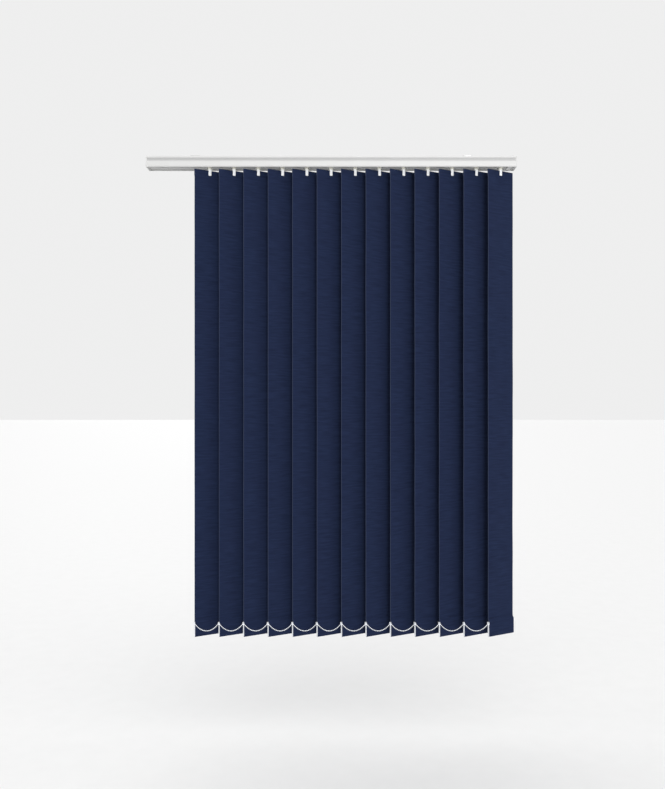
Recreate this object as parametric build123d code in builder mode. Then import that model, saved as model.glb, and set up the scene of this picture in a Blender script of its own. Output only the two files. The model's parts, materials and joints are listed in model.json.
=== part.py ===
from build123d import *
import os
from math import cos, degrees, pi, radians, sin

# A vertical blind. Fabric vanes hang from hooks, each hook turns in a carrier, and the carriers
# run in a headrail. A rod through the worm of every carrier tilts all the vanes together.
#
# Millimetres. The origin is on the face that meets the soffit, midway between the two fixing
# holes. +X runs along the headrail, -Y faces the room and +Z is up. The vanes stand partly open.

# ---- vanes ----
VANE_COUNT = 13
VANE_WIDTH = 89.0
VANE_LENGTH = 1303.7
VANE_PITCH = 68.1
VANE_ANGLE = 28.5  # from the headrail, near edge on the left
LAST_HOOK_INSET = 38.6  # last hook to the right end of the extrusion
VANE_DROP = 4.8  # foot of the headrail to the top of the fabric
FABRIC = 0.6
POCKET_PLAY = 0.15  # between the fabric and what lies in its hem
WELD = 3.0

# ---- headrail ----
RAIL_LENGTH = 1028.0
RAIL_HEIGHT = 31.0
RAIL_BACK = 20.5
RAIL_LIP = 20.5  # the front face at the top lip
RAIL_RECESS = 19.0
RAIL_NOSE = 21.0
LIP_HEIGHT = 5.2
RECESS_HEIGHT = 7.6
RAIL_STEP = 0.9  # height of the slopes into and out of the recess
RAIL_WALL = 1.4
SKIRT = 6.0  # how far the walls reach below the tracks
SLOT_PLAY = 0.7  # each side of a carrier's neck
KEEPER_SLOT = 14.0  # mouth of the channel along the top
KEEPER_WIDTH = 24.0
KEEPER_DEPTH = 3.4

# ---- fixing brackets ----
BRACKET_SPACING = 760.0
BRACKET_LENGTH = 26.0
BRACKET_WIDTH = 38.0
BRACKET_PLATE = 1.5
BRACKET_HOLE = 4.6
FOOT_THICK = 1.2
FOOT_WIDTH = 20.0
FOOT_GAP = 0.3

# ---- carriers ----
CARRIER_LENGTH = 17.0
CARRIER_WIDTH = 33.0
CARRIER_GAP = 0.3  # to the track below and the channel above
NECK_RADIUS = 5.5
NECK_DROP = 7.7  # below the underside of the tracks
RUN_FIT = 0.08  # radial, shafts in their holes
TOOTH_GAP = 0.3
WORM_WALL_GAP = 0.3

# ---- gears and rod ----
PINION_TEETH = 12
PINION_TIP = 5.6
PINION_ROOT = 4.2
PINION_THICK = 7.0
STEM_RADIUS = 2.5
WORM_RADIUS = 4.4
WORM_JOURNAL = 3.6
WALL = 1.6  # of a carrier's gear box, at its ends
ROD_RADIUS = 2.5
ROD_PLAY = 0.15
KEY_WIDTH = 1.1
KEY_HEIGHT = 0.7
GEAR_DROP = 7.6  # ceiling of the carriers' space to the rod's axis

# ---- spacer links ----
LINK_LANES = 4
LINK_WIDTH = 5.0
LINK_THICK = 0.5
LINK_STEP = 1.15  # from one lane to the next
LINK_OVERRUN = 7.0
LINK_INSET = 2.9  # front of the carrier to the links
LINK_PLAY = 0.3
EAR_LENGTH = 4.0
EAR_WIDTH = 1.5
EAR_PLAY = 0.1

# ---- hooks ----
HEAD_GAP = 0.3  # carrier neck to hook head
BRIDGE_WIDTH = 10.0
BRIDGE_HEIGHT = 2.4
PRONG_WIDTH = 8.0
PRONG_THICK = 1.6
PRONG_LENGTH = 14.3  # below the top of the fabric
PRONG_GAP = 0.3
PRONG_CORNER = 1.5
BARB_WIDTH = 6.0
BARB_HEIGHT = 3.0
HOOK_HOLE_DROP = 8.5
HOLE_PLAY = 0.8

# ---- hangers in the top hems ----
HANGER_THICK = 1.2
HANGER_HEIGHT = 15.0
HANGER_SHORT = 2.0  # each end stops this far inside the vane's edge
TOP_HEM = 17.8

# ---- weights in the bottom hems ----
WEIGHT_THICK = 3.7
WEIGHT_TOP = 41.5  # above the foot of the vane
WEIGHT_PROUD = 1.5  # each end stands this far out of the hem
BOTTOM_HEM = 42.5
HEM_TAPER = 5.0
LUG_LENGTH = 2.0
LUG_HEIGHT = 7.0
LUG_SLOT = 1.3
LUG_WALL = 0.9
LUG_SLOT_DEPTH = 4.0

# ---- bottom chains ----
CHAIN_RADIUS = 1.2
CHAIN_SAG = 20.0
CHAIN_CLEAR = 0.25  # chain to the corner of the hem it hangs past
CHAIN_END_GAP = 0.9  # chain to the lugs it hangs between

# ---- end caps ----
CAP_PLATE = 3.0
CAP_EDGE = 0.3
PLUG_LENGTH = 20.0
PLUG_GAP = 0.3
BEARING_DEPTH = 12.0
SPROCKET_RADIUS = 6.2
SPROCKET_THICK = 5.6
SPROCKET_GAP = 0.5
SPROCKET_BEADS = 8
SPROCKET_BEAD = 1.9
OUTLET = 5.4
CORD_OUTLET_Y = -8.0
FOOT_PLUG_HALF = 14.5
FOOT_PLUG_DROP = 4.0

# ---- worked out from the sizes above ----
ALONG = (cos(radians(VANE_ANGLE)), sin(radians(VANE_ANGLE)), 0)
BACK = (-ALONG[1], ALONG[0], 0)
FORWARD = (ALONG[1], -ALONG[0], 0)
RAIL_TOP = -BRACKET_PLATE
RAIL_FOOT = RAIL_TOP - RAIL_HEIGHT
SLOT_WIDTH = 2 * (NECK_RADIUS + SLOT_PLAY)
TRACK_UNDER = RAIL_FOOT + SKIRT
TRACK_TOP = TRACK_UNDER + RAIL_WALL
CEILING = RAIL_TOP - 2 * RAIL_WALL - KEEPER_DEPTH
ROD_Z = CEILING - GEAR_DROP
ROD_Y = PINION_TIP + TOOTH_GAP + WORM_RADIUS
CARRIER_TOP = CEILING - CARRIER_GAP
CARRIER_FOOT = TRACK_TOP + CARRIER_GAP
NECK_FOOT = TRACK_UNDER - NECK_DROP
HEAD_TOP = NECK_FOOT - HEAD_GAP
VANE_TOP = RAIL_FOOT - VANE_DROP
VANE_FOOT = VANE_TOP - VANE_LENGTH
LAST_HOOK_X = RAIL_LENGTH / 2 - LAST_HOOK_INSET
HOOK_X = [LAST_HOOK_X - VANE_PITCH * (VANE_COUNT - 1 - i) for i in range(VANE_COUNT)]
BOX_HALF = CARRIER_LENGTH / 2 - WALL  # inside of a carrier's gear box
WORM_HALF = BOX_HALF - WORM_WALL_GAP
LINK_FRONT = -CARRIER_WIDTH / 2 + LINK_INSET
LINK_LOW_Z = ROD_Z - LINK_STEP * (LINK_LANES - 1) / 2
TOP_POCKET = HANGER_THICK + 2 * POCKET_PLAY
BOTTOM_POCKET = WEIGHT_THICK + 2 * POCKET_PLAY
HEM_FRONT = FABRIC / 2 + BOTTOM_POCKET + FABRIC  # forward of the middle of the fabric
WEIGHT_MIDDLE = FABRIC / 2 + BOTTOM_POCKET / 2
CHAIN_ALONG = VANE_WIDTH / 2 + WEIGHT_PROUD + LUG_LENGTH / 2
LUG_Z = VANE_FOOT + WEIGHT_TOP


def chain_forward(corner_forward, side):
    """How far forward of the fabric a chain clears the hem's corner on that side of the blind."""
    corner_y = side * (VANE_WIDTH / 2 * ALONG[1]) - corner_forward * ALONG[0]
    chain_y = corner_y + side * (CHAIN_RADIUS + CHAIN_CLEAR)
    return (side * CHAIN_ALONG * ALONG[1] - chain_y) / ALONG[0]


FRONT_CHAIN = chain_forward(HEM_FRONT, -1)
BACK_CHAIN = chain_forward(-FABRIC / 2, 1)


def plan(x, z):
    """A level plane on a hook's axis, turned with its vane."""
    return Plane(origin=(x, 0, z), x_dir=ALONG, z_dir=(0, 0, 1))


def upright(x, forward):
    """The plane of a vane, moved forward of the middle of its fabric. It faces the room."""
    return Plane(origin=Vector(x, 0, 0) + Vector(FORWARD) * forward, x_dir=ALONG, z_dir=FORWARD)


def across(x, along):
    """A plane square to a vane, this far along it. Its X runs to the back and its Y up."""
    return Plane(origin=Vector(x, 0, 0) + Vector(ALONG) * along, x_dir=BACK, z_dir=ALONG)


def write(node, label):
    node.part.label = label
    export_step(node.part, f"parts/{label}.step")


def rail_outline():
    """The outside of the headrail's section, as a face in the sketch that calls it."""
    recess_top = RAIL_TOP - LIP_HEIGHT
    recess_foot = recess_top - RECESS_HEIGHT
    corners = [
        (-RAIL_LIP, RAIL_TOP),
        (-RAIL_LIP, recess_top),
        (-RAIL_RECESS, recess_top - RAIL_STEP),
        (-RAIL_RECESS, recess_foot),
        (-RAIL_NOSE, recess_foot - RAIL_STEP),
        (-RAIL_NOSE, RAIL_FOOT),
        (RAIL_BACK, RAIL_FOOT),
        (RAIL_BACK, RAIL_TOP),
    ]
    with BuildSketch() as outline:
        with BuildLine():
            FilletPolyline(*corners, radius=[0.6, 0.6, 0.4, 0.4, 1.6, 5.0, 1.5, 0.6], close=True)
        make_face()
    return outline.sketch


def headrail():
    middle_y = (RAIL_BACK - RAIL_NOSE) / 2
    with BuildPart() as rail:
        with BuildSketch(Plane.YZ.offset(-RAIL_LENGTH / 2)):
            add(rail_outline())
            offset(amount=-RAIL_WALL, kind=Kind.INTERSECTION, mode=Mode.SUBTRACT)
            # the walls stand open at the foot
            with Locations((middle_y, RAIL_FOOT + RAIL_WALL / 2)):
                Rectangle(2 * RAIL_BACK - 5.0, 2 * RAIL_WALL, mode=Mode.SUBTRACT)
            # the two tracks
            with Locations((0, TRACK_UNDER + RAIL_WALL / 2)):
                Rectangle(2 * RAIL_BACK - RAIL_WALL, RAIL_WALL)
                Rectangle(SLOT_WIDTH, 2 * RAIL_WALL, mode=Mode.SUBTRACT)
            # the channel that the bracket feet lock into
            with Locations((0, (RAIL_TOP + CEILING) / 2)):
                Rectangle(KEEPER_WIDTH + 2 * RAIL_WALL, RAIL_TOP - CEILING)
                Rectangle(KEEPER_WIDTH, KEEPER_DEPTH, mode=Mode.SUBTRACT)
            with Locations((0, RAIL_TOP)):
                Rectangle(KEEPER_SLOT, 3 * RAIL_WALL, mode=Mode.SUBTRACT)
        extrude(amount=RAIL_LENGTH)
        # the tracks stop where the control cap sits
        with BuildSketch(Plane.XY.offset(TRACK_TOP)):
            with Locations((RAIL_LENGTH / 2, 0)):
                Rectangle(2 * (PLUG_LENGTH + PLUG_GAP), 2 * RAIL_RECESS - 2 * RAIL_WALL)
        extrude(amount=-RAIL_WALL, mode=Mode.SUBTRACT)
    return rail


def cap_blank(side):
    """The plate over one end of the headrail and the plug inside it: side is -1 or 1."""
    end_x = side * RAIL_LENGTH / 2
    plug_front = RAIL_RECESS - RAIL_WALL - PLUG_GAP
    with BuildPart() as blank:
        with BuildSketch(Plane.YZ.offset(end_x)):
            add(rail_outline())
        extrude(amount=side * CAP_PLATE)
        outer = blank.faces().filter_by(Axis.X).sort_by(Axis.X)[-1 if side > 0 else 0]
        chamfer(outer.edges(), CAP_EDGE)
        with BuildSketch(Plane.YZ.offset(end_x)):
            with Locations((0, (CARRIER_TOP + CARRIER_FOOT) / 2)):
                Rectangle(2 * plug_front, CARRIER_TOP - CARRIER_FOOT)
        extrude(amount=-side * PLUG_LENGTH)
    return blank


def return_end_cap():
    end_x = -RAIL_LENGTH / 2
    with BuildPart() as cap:
        add(cap_blank(-1).part)
        with BuildSketch(Plane.YZ.offset(end_x + PLUG_LENGTH)):
            with Locations((ROD_Y, ROD_Z)):
                Circle(ROD_RADIUS + RUN_FIT)
        extrude(amount=-BEARING_DEPTH, mode=Mode.SUBTRACT)
        # a round guide where the draw cord turns back
        with BuildSketch(Plane.XY.offset(CARRIER_TOP)):
            with Locations((end_x + PLUG_LENGTH, CORD_OUTLET_Y)):
                Circle(OUTLET)
                Circle(OUTLET / 2, mode=Mode.SUBTRACT)
        extrude(amount=-OUTLET, mode=Mode.SUBTRACT)
    return cap


def control_end_cap():
    end_x = RAIL_LENGTH / 2
    inner_x = end_x - PLUG_LENGTH
    foot_z = TRACK_UNDER - FOOT_PLUG_DROP
    pocket_x = end_x - SPROCKET_THICK / 2 - 2 * SPROCKET_GAP - WALL
    pocket_radius = SPROCKET_RADIUS + SPROCKET_GAP
    with BuildPart() as cap:
        add(cap_blank(1).part)
        # the block that fills the gap in the tracks
        with BuildSketch(Plane.XY.offset(CARRIER_FOOT)):
            with Locations((end_x - PLUG_LENGTH / 2, 0)):
                Rectangle(PLUG_LENGTH, 2 * FOOT_PLUG_HALF)
        extrude(amount=foot_z - CARRIER_FOOT)
        # the sprocket's pocket, its bearing and the two ways out for the tilt chain
        with BuildSketch(Plane.YZ.offset(pocket_x - SPROCKET_THICK / 2 - SPROCKET_GAP)):
            with Locations((ROD_Y, ROD_Z)):
                Circle(pocket_radius)
        extrude(amount=SPROCKET_THICK + 2 * SPROCKET_GAP, mode=Mode.SUBTRACT)
        with BuildSketch(Plane.YZ.offset(inner_x)):
            with Locations((ROD_Y, ROD_Z)):
                Circle(ROD_RADIUS + RUN_FIT)
        extrude(amount=PLUG_LENGTH - WALL, mode=Mode.SUBTRACT)
        with BuildSketch(Plane.XY.offset(ROD_Z)):
            with Locations(
                (pocket_x, ROD_Y - pocket_radius + OUTLET / 2),
                (pocket_x, ROD_Y + pocket_radius - OUTLET / 2 - 2 * SPROCKET_GAP),
            ):
                Rectangle(OUTLET, OUTLET)
        extrude(amount=foot_z - ROD_Z, mode=Mode.SUBTRACT)
        # the way the draw cord comes in from the rail and goes out at the foot
        with BuildSketch(Plane.XY.offset(ROD_Z + OUTLET / 2)):
            with Locations((pocket_x, CORD_OUTLET_Y)):
                Rectangle(OUTLET, OUTLET)
        extrude(amount=foot_z - ROD_Z - OUTLET / 2, mode=Mode.SUBTRACT)
        with BuildSketch(Plane.YZ.offset(inner_x)):
            with Locations((CORD_OUTLET_Y, ROD_Z)):
                Rectangle(OUTLET, OUTLET)
        extrude(amount=pocket_x - inner_x + OUTLET / 2, mode=Mode.SUBTRACT)
    return cap, pocket_x


def keyed_bore(radius, key_width, key_height):
    """A round bore with one key standing into it, as a face in the sketch that calls it."""
    with BuildSketch() as bore:
        Circle(radius)
        with Locations((0, radius)):
            Rectangle(key_width, 2 * key_height, mode=Mode.SUBTRACT)
    return bore.sketch


def tilt_rod(right_x):
    """A round rod with one groove along it, for the keys of the worms and the sprocket."""
    left_x = -RAIL_LENGTH / 2 + PLUG_LENGTH - BEARING_DEPTH + RUN_FIT
    with BuildPart() as rod:
        with BuildSketch(Plane.YZ.offset(left_x)):
            with Locations((ROD_Y, ROD_Z)):
                add(keyed_bore(ROD_RADIUS, KEY_WIDTH, KEY_HEIGHT))
        extrude(amount=right_x - left_x)
    return rod


def control_sprocket(middle_x):
    """The wheel that the tilt chain turns, with a pocket for each bead."""
    with BuildPart() as sprocket:
        with BuildSketch(Plane.YZ.offset(middle_x - SPROCKET_THICK / 2)):
            with Locations((ROD_Y, ROD_Z)):
                Circle(SPROCKET_RADIUS)
                add(
                    keyed_bore(
                        ROD_RADIUS + RUN_FIT, KEY_WIDTH - 2 * RUN_FIT, KEY_HEIGHT - RUN_FIT
                    ),
                    mode=Mode.SUBTRACT,
                )
        extrude(amount=SPROCKET_THICK)
        wheel = Plane(origin=(middle_x, ROD_Y, ROD_Z), x_dir=(0, 1, 0), z_dir=(1, 0, 0))
        with Locations(wheel):
            with PolarLocations(SPROCKET_RADIUS, SPROCKET_BEADS):
                Sphere(SPROCKET_BEAD, mode=Mode.SUBTRACT)
    return sprocket


def mounting_brackets():
    """Two plates on top of the headrail, each with a foot locked into the channel."""
    neck_foot = RAIL_TOP - RAIL_WALL - FOOT_GAP
    with BuildPart() as brackets:
        for side in (-1, 1):
            x = side * BRACKET_SPACING / 2
            with BuildSketch():
                with Locations((x, 0)):
                    RectangleRounded(BRACKET_LENGTH, BRACKET_WIDTH, 3)
            extrude(amount=-BRACKET_PLATE)
            with BuildSketch(Plane.XY.offset(RAIL_TOP)):
                with Locations((x, 0)):
                    Rectangle(BRACKET_LENGTH, KEEPER_SLOT - 2 * FOOT_GAP)
            extrude(amount=neck_foot - RAIL_TOP)
            with BuildSketch(Plane.XY.offset(neck_foot)):
                with Locations((x, 0)):
                    RectangleRounded(BRACKET_LENGTH, FOOT_WIDTH, 2)
            extrude(amount=-FOOT_THICK)
            with BuildSketch():
                with Locations((x, 0)):
                    Circle(BRACKET_HOLE / 2)
            extrude(amount=neck_foot - FOOT_THICK, mode=Mode.SUBTRACT)
    return brackets


def carrier_body(x, lane):
    """The moulding that runs in the rail: its gear box is open at the top."""
    box_foot = ROD_Z - WORM_RADIUS - TOOTH_GAP
    height = CARRIER_TOP - CARRIER_FOOT
    with BuildPart() as body:
        with BuildSketch(Plane.XY.offset(CARRIER_FOOT)):
            with Locations((x, 0)):
                RectangleRounded(CARRIER_LENGTH, CARRIER_WIDTH, 1.2)
        extrude(amount=height)
        with BuildSketch(Plane.XY.offset(CARRIER_FOOT)):
            with Locations((x, 0)):
                Circle(NECK_RADIUS)
        extrude(amount=NECK_FOOT - CARRIER_FOOT)
        chamfer(body.faces().sort_by(Axis.Z)[0].edges(), 0.5)
        # the pinion's round pocket and the worm's square one
        with BuildSketch(Plane.XY.offset(CARRIER_TOP)):
            with Locations((x, 0)):
                Circle(PINION_TIP + TOOTH_GAP)
            with Locations((x, ROD_Y)):
                Rectangle(2 * BOX_HALF, 2 * (WORM_RADIUS + TOOTH_GAP))
        extrude(amount=box_foot - CARRIER_TOP, mode=Mode.SUBTRACT)
        with BuildSketch(Plane.XY.offset(box_foot)):
            with Locations((x, 0)):
                Circle(STEM_RADIUS + RUN_FIT)
        extrude(amount=NECK_FOOT - box_foot, mode=Mode.SUBTRACT)
        with BuildSketch(Plane.YZ.offset(x - CARRIER_LENGTH / 2)):
            with Locations((ROD_Y, ROD_Z)):
                Circle(WORM_JOURNAL + RUN_FIT)
        extrude(amount=CARRIER_LENGTH, mode=Mode.SUBTRACT)
        # the window that the spacer links slide through
        with BuildSketch(Plane.YZ.offset(x - CARRIER_LENGTH / 2)):
            with Locations((LINK_FRONT + LINK_WIDTH / 2, ROD_Z)):
                Rectangle(
                    LINK_WIDTH + 2 * LINK_PLAY,
                    LINK_STEP * (LINK_LANES - 1) + LINK_THICK + 2 * LINK_PLAY,
                )
        extrude(amount=CARRIER_LENGTH, mode=Mode.SUBTRACT)
        if lane is not None:
            # the notch that holds the ear of the link
            with BuildSketch(Plane.XY.offset(link_z(lane) - EAR_PLAY)):
                with Locations((x + CARRIER_LENGTH / 4, LINK_FRONT - EAR_WIDTH / 2)):
                    Rectangle(EAR_LENGTH + 2 * EAR_PLAY, EAR_WIDTH + 2 * EAR_PLAY)
            extrude(amount=LINK_THICK + 2 * EAR_PLAY, mode=Mode.SUBTRACT)
    return body


def link_z(lane):
    """The underside of a link in that lane of the window."""
    return LINK_LOW_Z + lane * LINK_STEP - LINK_THICK / 2


def spacer_link(x, lane):
    """A flat strip, held in its carrier by an ear, that reaches back through the next one."""
    left_x = x - VANE_PITCH - LINK_OVERRUN
    right_x = x + CARRIER_LENGTH / 2
    with BuildPart() as link:
        with BuildSketch(Plane.XY.offset(link_z(lane))):
            with Locations(((left_x + right_x) / 2, LINK_FRONT + LINK_WIDTH / 2)):
                Rectangle(right_x - left_x, LINK_WIDTH)
            with Locations((x + CARRIER_LENGTH / 4, LINK_FRONT - EAR_WIDTH / 2)):
                Rectangle(EAR_LENGTH, EAR_WIDTH)
        extrude(amount=LINK_THICK)
    return link


def worm(x):
    """The sleeve that slides along the rod and turns with it. Its thread is fine."""
    with BuildPart() as sleeve:
        with BuildSketch(Plane.YZ.offset(x - WORM_HALF)):
            with Locations((ROD_Y, ROD_Z)):
                Circle(WORM_RADIUS)
        extrude(amount=2 * WORM_HALF)
        with BuildSketch(Plane.YZ.offset(x - CARRIER_LENGTH / 2)):
            with Locations((ROD_Y, ROD_Z)):
                Circle(WORM_JOURNAL)
        extrude(amount=CARRIER_LENGTH)
        with BuildSketch(Plane.YZ.offset(x - CARRIER_LENGTH / 2)):
            with Locations((ROD_Y, ROD_Z)):
                add(
                    keyed_bore(
                        ROD_RADIUS + ROD_PLAY, KEY_WIDTH - 2 * ROD_PLAY, KEY_HEIGHT - ROD_PLAY / 2
                    )
                )
        extrude(amount=CARRIER_LENGTH, mode=Mode.SUBTRACT)
    return sleeve


def vane_hook(x):
    """Pinion, stem and the fork that the vane hangs in: one moulding."""
    tooth = [
        (-0.3, -PINION_ROOT * sin(pi / PINION_TEETH) * 0.9),
        (-0.3, PINION_ROOT * sin(pi / PINION_TEETH) * 0.9),
        (PINION_TIP - PINION_ROOT, PINION_ROOT * sin(pi / PINION_TEETH) * 0.45),
        (PINION_TIP - PINION_ROOT, -PINION_ROOT * sin(pi / PINION_TEETH) * 0.45),
    ]
    front = FABRIC / 2 + PRONG_GAP
    back = -FABRIC / 2 - TOP_POCKET - FABRIC - PRONG_GAP
    prong_foot = VANE_TOP - PRONG_LENGTH
    with BuildPart() as hook:
        with BuildSketch(plan(x, ROD_Z - PINION_THICK / 2)):
            Circle(PINION_ROOT)
            with PolarLocations(PINION_ROOT, PINION_TEETH):
                Polygon(*tooth, align=None)
        extrude(amount=PINION_THICK)
        with BuildSketch(plan(x, HEAD_TOP)):
            Circle(STEM_RADIUS)
        extrude(amount=ROD_Z - PINION_THICK / 2 - HEAD_TOP)
        # the head bridges the top of the vane
        with BuildSketch(across(x, -BRIDGE_WIDTH / 2)):
            with Locations((-(front + PRONG_THICK + back - PRONG_THICK) / 2, HEAD_TOP)):
                Rectangle(
                    front - back + 2 * PRONG_THICK, BRIDGE_HEIGHT, align=(Align.CENTER, Align.MAX)
                )
        extrude(amount=BRIDGE_WIDTH)
        fillet(
            hook.edges().filter_by(Axis.Z).filter_by(
                lambda e: e.center().Z > HEAD_TOP - BRIDGE_HEIGHT and e.center().Z < HEAD_TOP
            ),
            1.2,
        )
        # front and back prongs, rounded at the foot
        for forward in (front, back - PRONG_THICK):
            with BuildSketch(upright(x, forward)):
                with Locations((0, (HEAD_TOP - BRIDGE_HEIGHT / 2 + prong_foot) / 2)):
                    prong = Rectangle(PRONG_WIDTH, HEAD_TOP - BRIDGE_HEIGHT / 2 - prong_foot)
                fillet(prong.vertices().group_by(Axis.Y)[0], PRONG_CORNER)
            extrude(amount=PRONG_THICK)
        # the barb that the hanger rests on
        with BuildSketch(upright(x, back - PRONG_THICK / 2)):
            with Locations((0, VANE_TOP - HOOK_HOLE_DROP)):
                SlotOverall(BARB_WIDTH, BARB_HEIGHT)
        extrude(amount=TOP_POCKET + FABRIC + PRONG_GAP + PRONG_THICK / 2)
    return hook


def hook_hole(x):
    """The hole that the barb passes through, in the hanger and the fabric behind it."""
    with BuildPart() as hole:
        with BuildSketch(upright(x, -FABRIC / 2)):
            with Locations((0, VANE_TOP - HOOK_HOLE_DROP)):
                SlotOverall(BARB_WIDTH + 2 * HOLE_PLAY, BARB_HEIGHT + 2 * HOLE_PLAY)
        extrude(amount=-(TOP_POCKET + 2 * FABRIC))
    return hole


def vane_fabric(x):
    """One strip of cloth, turned over into a hem at the top and a deeper one at the foot."""
    half = FABRIC / 2
    top_back = half + TOP_POCKET
    foot_front = -half - BOTTOM_POCKET
    top_turn = VANE_TOP - (TOP_POCKET / 2 + FABRIC)
    foot_turn = VANE_FOOT + BOTTOM_POCKET / 2 + FABRIC
    top_weld = VANE_TOP - TOP_HEM - TOP_POCKET
    foot_weld = VANE_FOOT + BOTTOM_HEM + HEM_TAPER
    top_middle = half + TOP_POCKET / 2
    foot_middle = -half - BOTTOM_POCKET / 2
    with BuildPart() as fabric:
        with BuildSketch(across(x, -VANE_WIDTH / 2)):
            with BuildLine():
                Polyline(
                    (top_back + FABRIC, top_turn),
                    (top_back + FABRIC, VANE_TOP - TOP_HEM),
                    (half + FABRIC, top_weld),
                    (half + FABRIC, top_weld - WELD),
                    (half, top_weld - WELD),
                    (half, foot_turn),
                )
                ThreePointArc(
                    (half, foot_turn), (foot_middle, VANE_FOOT), (foot_front - FABRIC, foot_turn)
                )
                Polyline(
                    (foot_front - FABRIC, foot_turn),
                    (foot_front - FABRIC, VANE_FOOT + BOTTOM_HEM),
                    (-half - FABRIC, foot_weld),
                    (-half - FABRIC, foot_weld + WELD),
                    (-half, foot_weld + WELD),
                    (-half, top_turn),
                )
                ThreePointArc((-half, top_turn), (top_middle, VANE_TOP), (top_back + FABRIC, top_turn))
            make_face()
            with BuildLine():
                ThreePointArc(
                    (half, top_turn), (top_middle, VANE_TOP - FABRIC), (top_back, top_turn)
                )
                Polyline(
                    (top_back, top_turn),
                    (top_back, VANE_TOP - TOP_HEM),
                    (half, top_weld),
                    (half, top_turn),
                )
            make_face(mode=Mode.SUBTRACT)
            with BuildLine():
                ThreePointArc(
                    (-half, foot_turn), (foot_middle, VANE_FOOT + FABRIC), (foot_front, foot_turn)
                )
                Polyline(
                    (foot_front, foot_turn),
                    (foot_front, VANE_FOOT + BOTTOM_HEM),
                    (-half, foot_weld),
                    (-half, foot_turn),
                )
            make_face(mode=Mode.SUBTRACT)
        extrude(amount=VANE_WIDTH)
        add(hook_hole(x).part, mode=Mode.SUBTRACT)
    return fabric


def vane_hanger(x):
    """The stiff strip in the top hem."""
    length = VANE_WIDTH - 2 * HANGER_SHORT
    top = VANE_TOP - TOP_POCKET / 2 - FABRIC
    with BuildPart() as hanger:
        with BuildSketch(upright(x, -FABRIC / 2 - POCKET_PLAY)):
            with Locations((0, top - HANGER_HEIGHT / 2)):
                RectangleRounded(length, HANGER_HEIGHT, 2)
        extrude(amount=-HANGER_THICK)
        add(hook_hole(x).part, mode=Mode.SUBTRACT)
    return hanger


def vane_weight(x):
    """The flat weight in the bottom hem, with a lug at each end for a chain."""
    half_length = VANE_WIDTH / 2 + WEIGHT_PROUD
    round_z = VANE_FOOT + BOTTOM_POCKET / 2 + FABRIC
    front = WEIGHT_MIDDLE + WEIGHT_THICK / 2
    with BuildPart() as weight:
        with BuildSketch(across(x, -half_length)):
            with Locations((-WEIGHT_MIDDLE, (round_z + LUG_Z) / 2)):
                Rectangle(WEIGHT_THICK, LUG_Z - round_z)
            with Locations((-WEIGHT_MIDDLE, round_z)):
                Circle(WEIGHT_THICK / 2)
        extrude(amount=2 * half_length)
        for along, chain in ((-half_length - LUG_LENGTH, FRONT_CHAIN), (half_length, BACK_CHAIN)):
            reach = LUG_SLOT / 2 + LUG_WALL
            outer = max(front, chain + reach)
            inner = min(front - WEIGHT_THICK, chain - reach)
            with BuildSketch(across(x, along)):
                with Locations((-(outer + inner) / 2, LUG_Z - LUG_HEIGHT / 2)):
                    Rectangle(outer - inner, LUG_HEIGHT)
                with Locations((-chain, LUG_Z - LUG_SLOT_DEPTH / 2)):
                    Rectangle(LUG_SLOT, LUG_SLOT_DEPTH, mode=Mode.SUBTRACT)
            extrude(amount=LUG_LENGTH)
    return weight


def bottom_chain(along, forward):
    """One hanging span from each vane to the next, through the lugs at this end of the weights."""
    lug = Vector(ALONG) * along + Vector(FORWARD) * forward
    seat_z = LUG_Z - LUG_SLOT_DEPTH + CHAIN_RADIUS
    inset = LUG_LENGTH + CHAIN_END_GAP
    with BuildPart() as chain:
        for x in HOOK_X[:-1]:
            start = Vector(x + lug.X + inset, lug.Y, seat_z)
            end = Vector(x + lug.X + VANE_PITCH - inset, lug.Y, seat_z)
            low = Vector(x + lug.X + VANE_PITCH / 2, lug.Y, seat_z - CHAIN_SAG)
            with BuildLine() as span:
                curve = ThreePointArc(start, low, end)
            with BuildSketch(Plane(origin=curve @ 0, z_dir=curve % 0)):
                Circle(CHAIN_RADIUS)
            sweep(path=span.line)
    return chain


os.makedirs("parts", exist_ok=True)

write(headrail(), "headrail")
write(return_end_cap(), "return_end_cap")
control_cap, sprocket_x = control_end_cap()
write(control_cap, "control_end_cap")
write(mounting_brackets(), "mounting_brackets")
write(tilt_rod(RAIL_LENGTH / 2 - WALL - RUN_FIT), "tilt_rod")
write(control_sprocket(sprocket_x), "control_sprocket")

for number, hook_x in enumerate(HOOK_X, 1):
    lane = number % LINK_LANES if number > 1 else None
    with BuildPart() as carrier:
        add(carrier_body(hook_x, lane).part)
        if lane is not None:
            add(spacer_link(hook_x, lane).part)
    write(carrier, f"carrier_{number:02d}")
    write(worm(hook_x), f"worm_{number:02d}")
    write(vane_hook(hook_x), f"vane_hook_{number:02d}")
    with BuildPart() as vane:
        add(vane_fabric(hook_x).part)
        add(vane_hanger(hook_x).part)
        add(vane_weight(hook_x).part)
    write(vane, f"vane_{number:02d}")

write(bottom_chain(-CHAIN_ALONG, FRONT_CHAIN), "bottom_chain_front")
write(bottom_chain(CHAIN_ALONG, BACK_CHAIN), "bottom_chain_back")

print(f"front chain {FRONT_CHAIN:.2f} forward, back chain {BACK_CHAIN:.2f}")
print(f"chain arc turns {degrees(4 * CHAIN_SAG / VANE_PITCH):.0f} degrees")
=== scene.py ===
# %% [markdown]
# # A vertical blind, finished in Blender
# The construction model already holds every part at its true size. This notebook gives those
# parts their real surfaces, and builds the soft and small things that a solid model leaves
# plain: the cloth of the vanes, their weights, the hooks and the chains of beads.
# The units are metres. X runs along the headrail, -Y faces the room and Z is up.

import json
from math import asinh, cos, cosh, pi, radians, sin, sinh

import bpy
from mathutils import Matrix, Vector

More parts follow.
